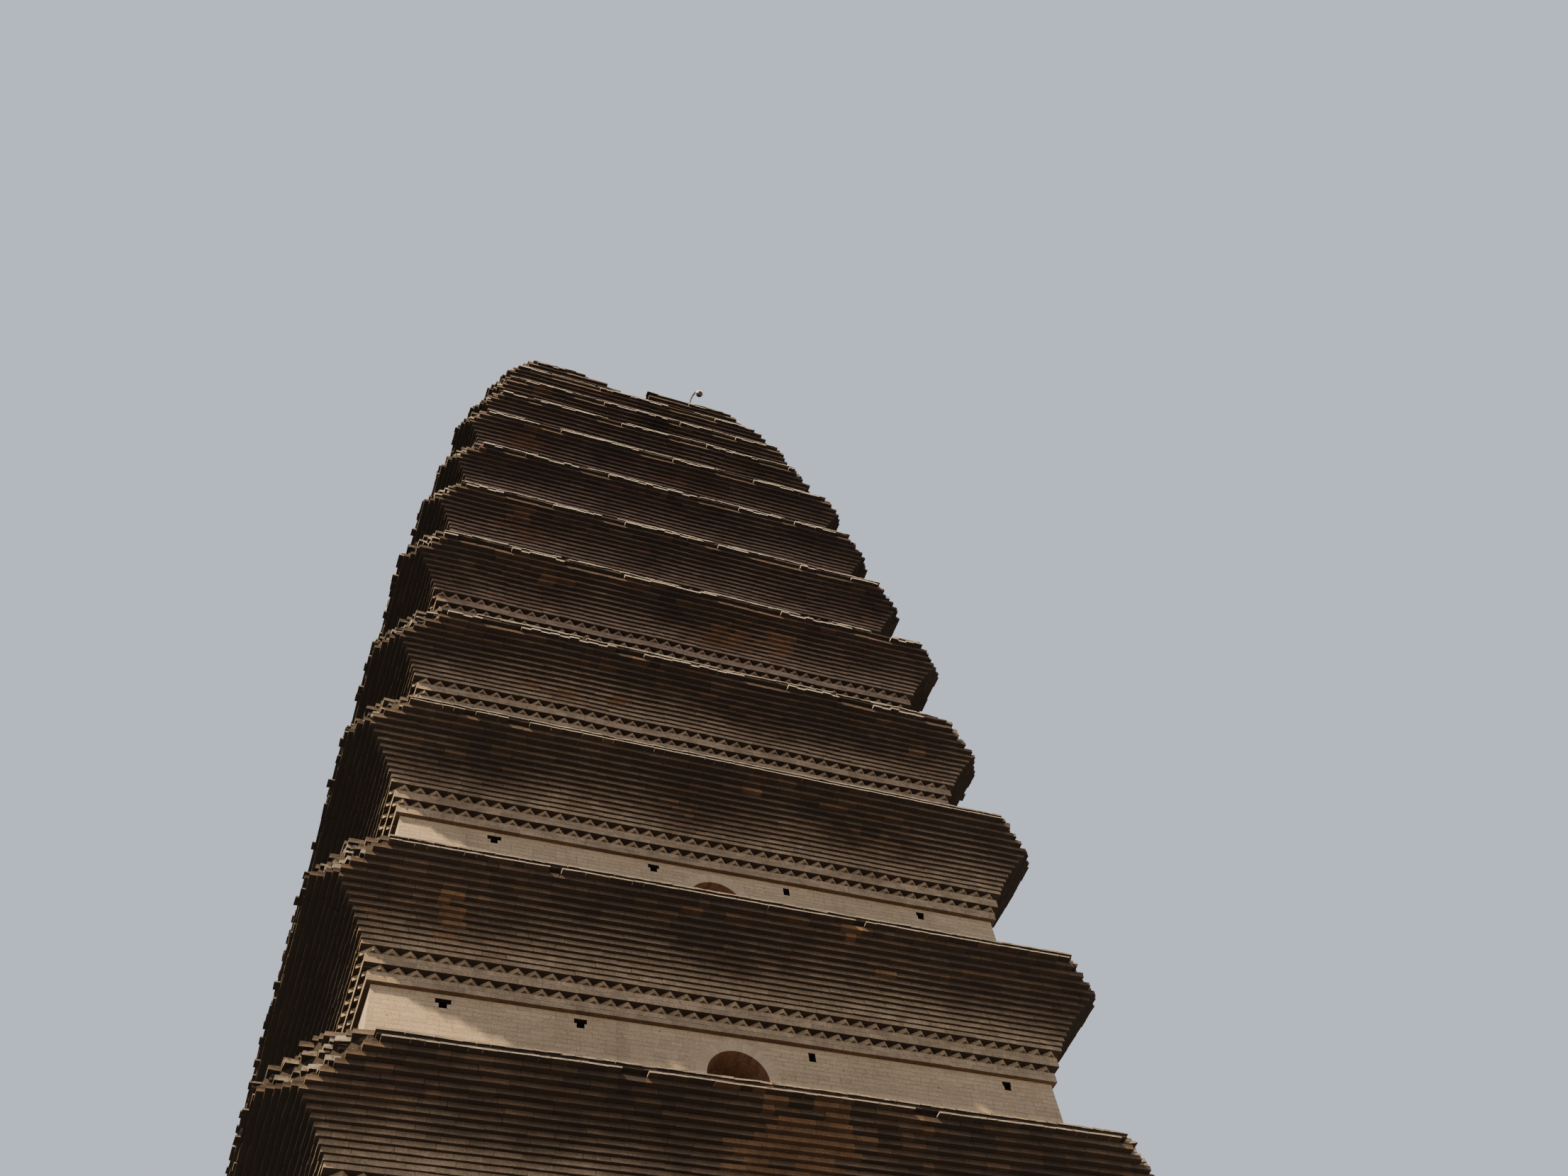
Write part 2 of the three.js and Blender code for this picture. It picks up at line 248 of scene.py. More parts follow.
class Storey:
    """One storey's heights, half widths and counts of courses, read from its solids."""

    def __init__(self, number):
        wall_low, wall_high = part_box(f"storey_{number}_wall")
        eave_low, eave_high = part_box(f"storey_{number}_eave")
        self.number = number
        self.ragged = number >= RAGGED_FROM
        self.half = wall_high.x
        self.base = wall_low.z
        self.top = wall_high.z
        self.reach = eave_high.x - self.half
        self.band = 2 if number < NARROW_CORNICE_FROM else 1
        roof_steps = max(1, math.floor(self.reach / ROOF_STEP))
        self.roof = 1 + 2 * roof_steps
        self.roof_setback = (self.reach - LIP_SETBACK) / (roof_steps + 1)
        courses = round((eave_high.z - eave_low.z) / COURSE)
        self.edge = courses - self.roof - 1
        self.corbels = self.edge + 1 - 2 * (self.band + 1)
        floor_above = f"storey_{min(number + 1, STOREYS)}_floor"
        self.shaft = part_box(floor_above)[1].x * SHAFT_SHARE
        above = f"storey_{number + 1}_wall" if number < STOREYS else "ruined_top"
        self.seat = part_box(above)[1].x - BRICK_WIDTH

    def corbel_reach(self, index):
        """How far a corbelled course stands out from the wall: the steps grow upwards."""
        last = self.corbels - 1
        mean = (self.reach - FIRST_CORBEL_REACH) / last
        growth = index * (index - 1) / (last - 1)
        return FIRST_CORBEL_REACH + mean * ((1 - CORBEL_GROWTH) * index + CORBEL_GROWTH * growth)

    def corner_cuts(self, below, setback):
        """How much of each corner has fallen away, from the front right round to the front left."""
        cuts = []
        for corner in range(4):
            turn = WEAR_PER_STOREY * self.number + WEAR_PER_CORNER * corner - WEAR_PHASE
            loss = CORNER_LOSS_SHARE * self.reach * (1 + CORNER_WEAR * math.sin(turn))
            cuts.append(max(0, loss - below * CORNER_LOSS_STEP - 2 * setback))
        return cuts

    def eave_courses(self):
        """The eave's courses, from the first band up to the foot of the next wall."""
        courses = []
        level = self.top

        def lay(kind, reach, height, cuts=NO_CUTS, clean=CLEAN_ELSEWHERE):
            nonlocal level
            courses.append(Course(kind, self.half + reach, level, height, cuts, clean))
            level += height

        for reach, next_reach in zip(BAND_REACH, [*BAND_REACH[1:], FIRST_CORBEL_REACH]):
            for _ in range(self.band):
                lay("band", reach, BAND_COURSE, clean=CLEAN_BAND if courses else CLEAN_FOOT)
            lay("teeth", next_reach, TOOTH_COURSE)
        height = (self.top + (self.edge + 1) * COURSE - level) / self.corbels
        for index in range(self.corbels):
            below = self.corbels - 1 - index
            kind = "corbel" if below else "edge"
            fade = max(0, 1 - index / CLEAN_COURSES)
            clean = CLEAN_ELSEWHERE + (CLEAN_CORBEL - CLEAN_ELSEWHERE) * fade
            lay(kind, self.corbel_reach(index), height, self.corner_cuts(below, 0), clean)
        for index in range(self.roof):
            kind, extra = ("roof", 0) if index else ("lip", LIP_EXTRA)
            setback = LIP_SETBACK + index * self.roof_setback / 2 + extra
            lay(kind, self.reach - setback, COURSE, self.corner_cuts(0, setback))
        return courses


def patch_value(place):
    """Changes slowly from place to place, and peaks where the russet patch is."""
    spot = Vector((place.x, place.y, PATCH_FLATNESS * place.z)) * PATCH_SCALE
    patch = noise.noise(spot) + FINE_PATCH_SHARE * noise.noise(spot * FINE_PATCH_SCALE)
    return patch + max(0, RUSSET_PEAK - (place - RUSSET_PLACE).length / RUSSET_REACH)


class Brickwork:
    """The bricks of one piece. Each has a place, a size, a turn about Z, and how far it is worn out
    of shape, whitened by limewash and painted highlight and kept clean of soot. Its patch value
    groups bricks of like colour. Sag is how far the courses have settled up and down along their length."""

    def __init__(self, seed, sag=0.0):
        self.seed = seed
        self.sag = sag
        self.draw = random.Random(seed)
        self.bricks = []

    def add(self, side, along, out, z, size, spin=0.0, wear=4, lime=0.0, clean=CLEAN_ELSEWHERE):
        """A brick whose centre is that far along a side and out from the axis. Side 0 is the
        front, and the others follow anticlockwise as seen from above."""
        turn = side * math.pi / 2
        place = Vector((math.cos(turn), math.sin(turn), 0)) * along
        place += Vector((math.sin(turn), -math.cos(turn), 0)) * out
        place.z = z
        settled = (place.x, place.y, place.z + self.sag * noise.noise(place * SAG_SCALE))
        turn = turn + spin + wear * LOOSENESS * (self.draw.random() - 0.5)
        self.bricks.append(Brick(settled, size, turn, wear, lime, clean, patch_value(place)))

    def row(self, side, start, end, face, bottom, height, gaps=(), jitter=0.0, joint=JOINT,
            headers=HEADER_SHARE, **looks):
        """One row of bricks along a side, from start to end, with its face at that distance
        from the axis. Some show their short ends. Bricks inside the gaps are left out."""
        place = start
        while end - place > JOINT:
            length = BRICK_LENGTH if self.draw.random() > headers else BRICK_WIDTH
            if place == start:
                length = self.draw.choice(FIRST_LENGTHS)
            if end - place - length < SHORTEST_BRICK:
                length = end - place
            middle = place + length / 2
            shift = -2 * jitter * self.draw.random()
            if not any(low < middle < high for low, high in gaps):
                out = face + shift - BRICK_WIDTH / 2
                size = (length - joint, BRICK_WIDTH, height - BED_JOINT)
                self.add(side, middle, out, bottom + height / 2, size, **looks)
            place += length

    def course(self, face, bottom, height, cuts, parity, gaps=((), (), (), ()), jitters=0.0, **looks):
        """A whole square course whose corners are cut back in steps, as bricks have fallen."""
        for side in range(4):
            jitter = jitters[side] if isinstance(jitters, tuple) else jitters
            short = BRICK_WIDTH if (side + parity) % 2 else 0
            start = -face + (cuts[side - 1] or short)
            end = face - (cuts[side] or short)
            self.row(side, start, end, face, bottom, height, gaps[side], jitter, **looks)
            for sign, cut, limit in ((-1, cuts[side - 1], -start), (1, cuts[side], end)):
                self.stepped(side, sign, cut, limit, face, bottom, height, jitter, **looks)

    def stepped(self, side, sign, cut, limit, face, bottom, height, jitter, **looks):
        """Broken rows past one end of a row, each set back behind the last and a little longer."""
        looks.update(wear=ROUGH_WEAR, lime=max(looks.get("lime", 0), BROKEN_LIME_AND_HIGHLIGHT))
        inner = limit
        depth = BRICK_WIDTH
        while depth < cut / 2:
            stop = min(limit + depth + self.draw.uniform(-1, 1) * CUT_JITTER, face - depth)
            ends = sorted((sign * (inner - BRICK_WIDTH), sign * stop))
            if ends[1] - ends[0] > SHORTEST_BRICK:
                self.row(side, *ends, face - depth, bottom, height, (), jitter, **looks)
            inner = stop
            depth += BRICK_WIDTH

    def backing(self, face, inner, bottom, height, cuts, parity, **looks):
        """Rows of bricks behind a course, as far in as the inner half width."""
        depth = BRICK_WIDTH
        while face - depth > inner:
            shrunk = [max(0, cut - 2 * depth) for cut in cuts]
            parity += 1
            self.course(face - depth, bottom, height, shrunk, parity, **looks)
            depth += BRICK_WIDTH

    def teeth(self, face, bottom):
        """A course of bricks set corner outwards all round."""
        count = math.floor(2 * face / TOOTH_PITCH)
        out = face - TOOTH_SETBACK - TOOTH_PITCH / 2
        width = BRICK_WIDTH - BED_JOINT
        size = (width, width, TOOTH_COURSE)
        for side, index in product(range(4), range(count)):
            along = (index + 0.5 - count / 2) * TOOTH_PITCH
            self.add(side, along, out, bottom + TOOTH_COURSE / 2, size, math.pi / 4, **TOOTH_LOOKS)

    def carve(self, low, high):
        """Takes out the bricks whose centres lie between two corners of a box."""

        def inside(place):
            return all(start < value < end for start, value, end in zip(low, place, high))

        self.bricks = [brick for brick in self.bricks if not inside(brick.place)]

    def points(self, name):
        """A mesh of one vertex a brick, with the brick's facts as attributes."""
        mesh = bpy.data.meshes.new(name)
        mesh.from_pydata([brick.place for brick in self.bricks], [], [])
        sizes = mesh.attributes.new("size", "FLOAT_VECTOR", "POINT")
        sizes.data.foreach_set("vector", [value for brick in self.bricks for value in brick.size])
        for key in ("turn", "wear", "lime", "clean", "patch"):
            values = [getattr(brick, key) for brick in self.bricks]
            mesh.attributes.new(key, "FLOAT", "POINT").data.foreach_set("value", values)
        return mesh


class Nodes:
    """A node tree being put together: its nodes are added and wired by plain calls."""

    def __init__(self, tree):
        self.tree = tree

    def add(self, kind, inputs=(), **settings):
        """A new node with these settings. Its inputs are given by name, or in their own order."""
        node = self.tree.nodes.new(kind)
        for key, value in settings.items():
            setattr(node, key, value)
        for key, value in inputs.items() if isinstance(inputs, dict) else enumerate(inputs):
            self.feed(node.inputs[key], value)
        return node

    def out(self, kind, inputs=(), output=0, **settings):
        """One of the values that a new node gives out."""
        return self.add(kind, inputs, **settings).outputs[output]

    def feed(self, socket, value):
        """Links another node's output to a socket, or sets the socket's own value."""
        if isinstance(value, bpy.types.NodeSocket):
            self.tree.links.new(value, socket)
        else:
            socket.default_value = value


def brick_layer():
    """Geometry nodes that turn points into bricks and join a core to them, with the identifiers
    of their inputs. A brick's corners are thrown out of place by up to its wear times the reach."""
    tree = bpy.data.node_groups.new("brick_layer", "GeometryNodeTree")
    identifiers = {}
    kinds = {
        "Geometry": "Geometry", "Core": "Object", "Wear reach": "Float", "Seed": "Int",
        "Material": "Material",
    }
    for label, kind in kinds.items():
        socket = tree.interface.new_socket(label, in_out="INPUT", socket_type="NodeSocket" + kind)
        identifiers[label] = socket.identifier
    tree.interface.new_socket("Geometry", in_out="OUTPUT", socket_type="NodeSocketGeometry")
    layer = Nodes(tree)
    given = layer.add("NodeGroupInput").outputs

    def attribute(name, kind="FLOAT"):
        return layer.out("GeometryNodeInputNamedAttribute", {"Name": name}, data_type=kind)

    def stored(geometry, name, value, domain):
        inputs = {"Geometry": geometry, "Name": name, "Value": value}
        return layer.out("GeometryNodeStoreNamedAttribute", inputs, domain=domain)

    place = layer.out("GeometryNodeInputPosition")
    rise = layer.out("ShaderNodeSeparateXYZ", [place], "Z")
    bricks = layer.out("GeometryNodeInstanceOnPoints", {
        "Points": given["Geometry"],
        "Instance": stored(layer.out("GeometryNodeMeshCube"), "rise", rise, "POINT"),
        "Rotation": layer.out("ShaderNodeCombineXYZ", {"Z": attribute("turn")}),
        "Scale": attribute("size", "FLOAT_VECTOR"),
    })
    tone = layer.out("FunctionNodeRandomValue", {"Seed": given["Seed"]}, 1, data_type="FLOAT")
    bricks = stored(bricks, "tone", tone, "INSTANCE")
    bricks = layer.out("GeometryNodeRealizeInstances", [bricks])

    inputs = {0: (-1, -1, -1), 1: (1, 1, 1), "Seed": given["Seed"]}
    throw = layer.out("FunctionNodeRandomValue", inputs, data_type="FLOAT_VECTOR")
    reach = layer.out("ShaderNodeMath", (attribute("wear"), given["Wear reach"]), operation="MULTIPLY")
    offset = layer.out("ShaderNodeVectorMath", {0: throw, "Scale": reach}, operation="SCALE")
    bricks = layer.out("GeometryNodeSetPosition", {"Geometry": bricks, "Offset": offset})

    core = layer.out("GeometryNodeObjectInfo", [given["Core"]], "Geometry")
    together = layer.add("GeometryNodeJoinGeometry", [core])
    layer.feed(together.inputs["Geometry"], bricks)
    inputs = {"Geometry": together.outputs["Geometry"], "Material": given["Material"]}
    layer.add("NodeGroupOutput", [layer.out("GeometryNodeSetMaterial", inputs)])
    return tree, identifiers


# Objects and closed shapes
def add_object(name, content):
    piece = bpy.data.objects.new(name, content)
    bpy.context.scene.collection.objects.link(piece)
    return piece


def finished(piece, slot, *nodes):
    """Lets a piece ride on the tower and stand for its solids. Its slot is not used."""
    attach(piece, "root")
    if nodes:
        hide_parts(*nodes)


def applied(name, piece, helper):
    """A new piece with the modifiers of the old one applied. The old one and its helper go."""
    graph = bpy.context.evaluated_depsgraph_get()
    mesh = bpy.data.meshes.new_from_object(piece.evaluated_get(graph), depsgraph=graph)
    mesh.name = name
    for done in (piece, helper):
        bpy.data.objects.remove(done)
    return add_object(name, mesh)


def laid(name, work, core_mesh, material):
    """The piece that the brick layer makes from the points and from the core behind them."""
    points = add_object(name + "_points", work.points(name + "_points"))
    core = add_object(name + "_core", core_mesh)
    layer = points.modifiers.new("brick_layer", "NODES")
    layer.node_group = BRICK_LAYER
    layer[LAYER_INPUTS["Core"]] = core
    layer[LAYER_INPUTS["Wear reach"]] = WEAR_REACH
    layer[LAYER_INPUTS["Seed"]] = work.seed
    layer[LAYER_INPUTS["Material"]] = material
    return applied(name, points, core)


def closed_mesh(name, shape, material=None):
    """A mesh of closed shapes, with their faces turned outwards."""
    bmesh.ops.recalc_face_normals(shape, faces=shape.faces)
    mesh = bpy.data.meshes.new(name)
    shape.to_mesh(mesh)
    shape.free()
    if material:
        mesh.materials.append(material)
    return mesh


def loft(shape, near, far):
    """A closed shape between two outlines with the same number of points."""
    near = [shape.verts.new(point) for point in near]
    far = [shape.verts.new(point) for point in far]
    faces = [shape.faces.new(near), shape.faces.new(list(reversed(far)))]
    for i in range(len(near)):
        j = (i + 1) % len(near)
        faces.append(shape.faces.new((near[j], near[i], far[i], far[j])))
    return faces


def add_face(shape, *corners):
    """A face through these corners, each taken once. There is none where too few are left."""
    corners = tuple(dict.fromkeys(corners))
    if len(corners) > 2:
        shape.faces.new(corners)


def cut_square(half, cuts):
    """The outline of a square with its corners cut back, two points for each corner, from the
    front right one round to the front left one."""
    outline = []
    ways = [(1, 0), (0, 1), (-1, 0), (0, -1), (1, 0)]
    for arrive, leave, cut in zip(ways, ways[1:], cuts):
        x = arrive[0] - leave[0]
        y = arrive[1] - leave[1]
        outline.append((x * half - arrive[0] * cut, y * half - arrive[1] * cut))
        outline.append((x * half + leave[0] * cut, y * half + leave[1] * cut))
    return outline


def core_ring(shape, half, hole, cuts, low, high):
    """A square ring with its corners cut back and a square shaft inside."""
    outer = cut_square(half, cuts)
    inner = cut_square(hole, NO_CUTS)
    under = {}
    over = {}
    for point in dict.fromkeys(outer + inner):
        under[point] = shape.verts.new((*point, low))
        over[point] = shape.verts.new((*point, high))
    for i in range(len(outer)):
        j = (i + 1) % len(outer)
        add_face(shape, under[outer[i]], under[outer[j]], over[outer[j]], over[outer[i]])
        add_face(shape, under[inner[j]], under[inner[i]], over[inner[i]], over[inner[j]])
        add_face(shape, over[outer[i]], over[outer[j]], over[inner[j]], over[inner[i]])
        add_face(shape, under[outer[j]], under[outer[i]], under[inner[i]], under[inner[j]])


# Finishes
class Finish(Nodes):
    """A material being put together, from textures and from sums with their values."""

    def __init__(self, name, roughness, metallic=0, specular=0.25):
        self.material = bpy.data.materials.new(name)
        self.material.use_nodes = True
        super().__init__(self.material.node_tree)
        self.shader = self.tree.nodes["Principled BSDF"]
        values = {"Roughness": roughness, "Metallic": metallic, "Specular IOR Level": specular}
        for label, value in values.items():
            self.shader.inputs[label].default_value = value
        self.place = self.out("ShaderNodeTexCoord", output="Object")

    def math(self, operation, first, second=0, clamp=False):
        return self.out("ShaderNodeMath", (first, second), operation=operation, use_clamp=clamp)

    def plus(self, first, second):
        return self.math("ADD", first, second)

    def minus(self, first, second):
        return self.math("SUBTRACT", first, second)

    def times(self, first, second, clamp=False):
        return self.math("MULTIPLY", first, second, clamp)

    def noise(self, scale, detail=4, roughness=0.55, stretch=None):
        where = self.place
        if stretch:
            where = self.out("ShaderNodeMapping", {"Vector": where, "Scale": stretch})
        inputs = {"Vector": where, "Scale": scale, "Detail": detail, "Roughness": roughness}
        return self.out("ShaderNodeTexNoise", inputs, "Fac")

    def spread(self, value, low, high, out_low=0, out_high=1):
        """Stretches a value from low..high to out_low..out_high, held at the ends."""
        inputs = (value, low, high, out_low, out_high)
        return self.out("ShaderNodeMapRange", inputs, interpolation_type="SMOOTHSTEP")

    def choose(self, share, first, second):
        """The first value where the share is 0, and the second where it is 1."""
        return self.out("ShaderNodeMix", {0: share, 2: first, 3: second}, data_type="FLOAT")

    def mix(self, share, first, second, blend="MIX"):
        """A colour between two others."""
        inputs = {0: share, 6: first, 7: second}
        return self.out("ShaderNodeMix", inputs, 2, data_type="RGBA", blend_type=blend)

    def dimmed(self, base, share, dark):
        """The base colour times a dark tone where the share is 0, and as it is where it is 1."""
        return self.mix(1, base, self.mix(share, dark, WHITE), "MULTIPLY")

    def steps(self, value, stops):
        """A colour picked from a list of (start, colour) by a value from 0 to 1."""
        node = self.add("ShaderNodeValToRGB", [value])
        ramp = node.color_ramp
        ramp.interpolation = "CONSTANT"
        for index, (start, shade) in enumerate(stops):
            stop = ramp.elements[index] if index < 2 else ramp.elements.new(start)
            stop.position = start
            stop.color = shade
        return node.outputs["Color"]

    def attribute(self, name):
        return self.out("ShaderNodeAttribute", output="Fac", attribute_name=name)

    def split(self, vector):
        return self.add("ShaderNodeSeparateXYZ", [vector]).outputs

    def normal(self):
        return self.split(self.out("ShaderNodeNewGeometry", output="Normal"))

    def done(self, base, relief=None, depth=0, strength=1):
        """The finished material, with its base colour and with bumps of that depth."""
        self.feed(self.shader.inputs["Base Color"], base)
        if relief:
            inputs = {"Height": relief, "Distance": depth, "Strength": strength}
            self.feed(self.shader.inputs["Normal"], self.out("ShaderNodeBump", inputs))
        return self.material


class EaveFinish(Finish):
    """Weathered brick. Fronts go from clean tan low down to a dark mosaic of brown, plum and
    russet bricks at the edge, and undersides are darker with soot and painted shade. The
    backing behind the bricks, which has no clean value, is black with soot and painted shade."""

    def __init__(self):
        super().__init__("weathered_eave_brick", 0.92)
        self.tone = self.attribute("tone")
        self.clean = self.attribute("clean")
        self.patch = self.attribute("patch")
        x, y, z = self.split(self.place)
        # How far a point lies on the left side, which is painted darker as shade.
        leftward = self.minus(self.times(x, -1), self.math("ABSOLUTE", y))
        self.left = self.spread(leftward, -0.1, 0.1)
        self.high = self.spread(z, 9.5, 16)
        # How far a face turns down: undersides are painted darker with it, as shade.
        self.down = self.spread(self.normal()[2], -0.3, -0.9)
        wander = self.minus(self.noise(0.9, 3, 0.6, stretch=(1, 1, 1.5)), 0.5)
        self.cleared = self.plus(self.clean, self.times(wander, 1.5))
        self.outer = self.spread(self.cleared, 0.7, 0.15)
        # Painted shade on each front, darker towards its top under the course above, and more on dirtier
        # bricks.
        upper = self.spread(self.attribute("rise"), -0.35, 0.3)
        self.painted_top_shade = self.times(upper, self.spread(self.clean, 0.85, 0.3, 0, 0.6))

    def per_brick(self, factor):
        """One more random value a brick, made from its tone."""
        return self.math("FRACT", self.times(self.tone, factor))

    def bricks(self):
        """The colours of fronts and undersides, before stains and grime. Undersides are darker with soot
        and painted shade, and fronts darken towards their tops as painted shade.
        """
        front = self.spread(self.cleared, 0.1, 0.95)
        front = self.mix(front, colour(114, 95, 80), colour(158, 141, 123))
        under = self.mix(self.spread(self.clean, 0.1, 0.8), colour(44, 34, 30), colour(52, 40, 34))
        # Only the foot band and the teeth keep light undersides; the ceilings of the pockets stay dark
        # with soot and painted shade.
        under = self.mix(self.spread(self.clean, 0.9, 0.98), under, colour(104, 82, 63))
        mosaic = self.steps(self.per_brick(7), MOSAIC)
        share = self.times(self.outer, self.spread(self.patch, -0.45, 0.3, 1, 0.5))
        front = self.mix(self.times(share, 0.78), front, mosaic)
        # Outer undersides take the mosaic darkened towards black: painted shade.
        under = self.mix(self.times(share, 0.9), under, self.mix(0.68, mosaic, colour(20, 15, 16)))
        # Fronts darken towards their tops: painted shade.
        front = self.mix(self.painted_top_shade, front, under)
        # Faces turned down take the darker underside colour: soot and painted shade.
        return self.mix(self.down, front, under)

    def russet(self, brick):
        """Warm bricks, alone or in patches."""
        chance = self.times(self.per_brick(11), 0.5)
        share = self.spread(self.plus(self.patch, chance), 0.88, 0.92)
        share = self.times(share, self.spread(self.clean, 0.86, 0.6, 0, 0.85))
        # Russet undersides take a darker copy of the russet: painted shade.
        return self.mix(share, brick, self.mix(self.down, colour(136, 104, 78), colour(88, 65, 50)))

    def stained(self, brick):
        """Grime on every brick, broad black stains, made stronger on the left side as painted shade, and
        one more stain under the notch.
        """
        grime = self.spread(self.noise(9, 6, 0.7), 0.38, 0.62)
        brick = self.mix(self.times(grime, 0.28), brick, colour(44, 35, 30))
        broad = self.spread(self.noise(1.3, 4, 0.6, stretch=(1, 1, 1.6)), 0.36, 0.62)
        broad = self.times(broad, self.spread(self.clean, 0.8, 0.3, 0, 0.4))
        # Broad stains count double on the left side: painted shade.
        broad = self.times(broad, self.plus(1, self.left), clamp=True)
        brick = self.mix(broad, brick, colour(30, 23, 24))
        ends = (self.place, STAIN_PLACE)
        away = self.out("ShaderNodeVectorMath", ends, "Value", operation="DISTANCE")
        blot = self.plus(away, self.noise(2.5, 5, 0.7))
        stain = self.spread(blot, STAIN_REACH + 0.8, STAIN_REACH + 0.4, 0, 0.75)
        return self.mix(stain, brick, colour(20, 19, 18))

    def shaded(self, brick):
        """A cooler tint high up, and painted shade on the left side, deepest on undersides and towards the
        tops of fronts.
        """
        tint = self.mix(self.high, WHITE, colour(212, 205, 218))
        brick = self.mix(1, brick, tint, "MULTIPLY")
        painted_shade_share = self.plus(0.15, self.times(self.plus(self.down, self.painted_top_shade), 0.7))
        return self.mix(self.times(self.left, painted_shade_share, clamp=True), brick, colour(16, 12, 11))

    def limed_and_highlighted(self, brick):
        """White limewash and painted highlight on the fronts and tops of the bricks that have it: none on
        undersides, less on the left side, brighter high up.
        """
        worn = self.spread(self.noise(26, 6, 0.7), 0.3, 0.48)
        lime = self.times(self.attribute("lime"), worn)
        lime = self.times(lime, self.minus(1, self.down))
        lime = self.times(lime, self.spread(self.left, 0, 1, 1, 0.6))
        # The whitening is brighter high up: painted highlight.
        return self.mix(lime, brick, self.mix(self.high, colour(140, 135, 129), colour(170, 165, 159)))

    def painted(self):
        """The material, from the bricks' own colours out to the grain of their surface."""
        brick = self.dimmed(self.russet(self.bricks()), self.per_brick(17), colour(226, 226, 226))
        brick = self.limed_and_highlighted(self.shaded(self.stained(brick)))
        # Near clean 0, in the backing and the groove, the colour is near black: soot and painted shade.
        brick = self.mix(self.spread(self.clean, 0, 0.08), colour(40, 32, 28), brick)
        grain = self.noise(90, 6, 0.75)
        brick = self.dimmed(brick, self.spread(grain, 0.3, 0.7), colour(188, 188, 188))
        return self.done(brick, grain, full(8), 0.8)


def course_pattern(finish, start):
    """Brick tones and joints on upright faces and, turned flat, on level ones."""
    x, y, z = finish.split(finish.place)
    facing = finish.normal()
    sideways = finish.math("GREATER_THAN", finish.math("ABSOLUTE", facing[0]), 0.7)
    level = finish.math("GREATER_THAN", finish.math("ABSOLUTE", facing[2]), 0.7)
    rise = finish.choose(level, finish.minus(z, start), y)
    waver = finish.times(finish.minus(finish.noise(6, 2), 0.5), DRAWN_WAVER)
    place = (finish.choose(sideways, x, y), finish.plus(rise, waver))
    inputs = {
        "Vector": finish.out("ShaderNodeCombineXYZ", place),
        "Scale": 1, "Brick Width": BRICK_LENGTH, "Row Height": COURSE,
        "Mortar Size": DRAWN_JOINT, "Mortar Smooth": 0.3,
        "Color1": (0, 0, 0, 1), "Color2": (1, 1, 1, 1), "Mortar": (0.5, 0.5, 0.5, 1),
    }
    bricks = finish.add("ShaderNodeTexBrick", inputs, offset=0.5, squash=0.5, squash_frequency=3)
    return bricks.outputs["Color"], bricks.outputs["Fac"]


def walling(name, light, dark, joint_colour, start):
    """Close-jointed brick walling, with stains, grain and thin dark joints."""
    finish = Finish(name, 0.9)
    tones, joints = course_pattern(finish, start)
    brick = finish.mix(finish.times(tones, 0.5), light, dark)
    stain = finish.spread(finish.noise(1.1, 6, 0.6), 0.42, 0.75, 0, 0.5)
    brick = finish.mix(stain, brick, dark)
    streak = finish.noise(3, 4, 0.6, stretch=(1, 1, 0.12))
    brick = finish.mix(finish.spread(streak, 0.55, 0.75, 0, 0.25), brick, colour(84, 74, 66))
    faded = finish.spread(finish.noise(7, 4), 0.4, 0.62, 0.11, 0.55)
    brick = finish.mix(finish.times(joints, faded), brick, joint_colour)
    nick = finish.spread(finish.noise(24, 3, 0.7), 0.66, 0.72, 0, 0.6)
    brick = finish.mix(nick, brick, joint_colour)
    grain = finish.noise(110, 6, 0.75)
    brick = finish.dimmed(brick, finish.spread(grain, 0.3, 0.7), colour(204, 200, 196))
    relief = finish.times(finish.minus(grain, joints), 0.6)
    relief = finish.plus(relief, finish.times(tones, 0.25))
    return finish.done(brick, relief, full(8), 0.8)


def arch_finish():
    """Tan brick on the face of an arch and reddish brick on its underside."""
    finish = Finish("arch_brick", 0.9)
    tone = finish.attribute("tone")
    face = finish.mix(tone, colour(156, 141, 124), colour(168, 152, 135))
    inside = finish.mix(tone, colour(102, 75, 62), colour(124, 95, 79))
    outward = finish.math("ABSOLUTE", finish.normal()[1])
    brick = finish.mix(finish.spread(outward, 0.5, 0.8), inside, face)
    grain = finish.noise(60, 6, 0.7)
    return finish.done(finish.dimmed(brick, grain, colour(196, 193, 190)), grain, full(6), 0.7)


def hole_shade_finish():
    """The inside of a hole in the brickwork, painted near black as shade."""
    finish = Finish("hole_painted_shade", 0.95)
    painted_shade_share = finish.noise(20, 4)
    return finish.done(finish.mix(painted_shade_share, colour(14, 12, 11), colour(30, 25, 22)), painted_shade_share, full(10), 0.6)


def stone_finish():
    """Grey limestone, dressed and weathered."""
    finish = Finish("dressed_limestone", 0.78)
    cloud = finish.spread(finish.noise(2.2, 6, 0.6), 0.3, 0.7)
    stone = finish.mix(cloud, colour(150, 147, 140), colour(184, 181, 173))
    stain = finish.spread(finish.noise(0.8, 6, 0.7), 0.5, 0.72, 0, 0.6)
    stone = finish.mix(stain, stone, colour(112, 106, 96))
    chisel = finish.noise(30, 5, 0.7, stretch=(1, 1, 4))
    return finish.done(finish.dimmed(stone, chisel, colour(205, 205, 205)), chisel, full(5), 0.6)


def timber_finish():
    """Worn floor boards that run along Y."""
    finish = Finish("floor_boards", 0.7)
    board = finish.math("DIVIDE", finish.split(finish.place)["X"], full(220))
    edge = finish.math("ABSOLUTE", finish.minus(finish.math("FRACT", board), 0.5))
    gap = finish.spread(edge, 0.47, 0.495)
    grain = finish.noise(14, 6, 0.6, stretch=(6, 0.7, 6))
    wood = finish.mix(grain, colour(96, 66, 44), colour(146, 106, 74))
    wood = finish.mix(gap, wood, colour(30, 22, 16))
    return finish.done(wood, finish.minus(grain, gap), full(4), 0.6)


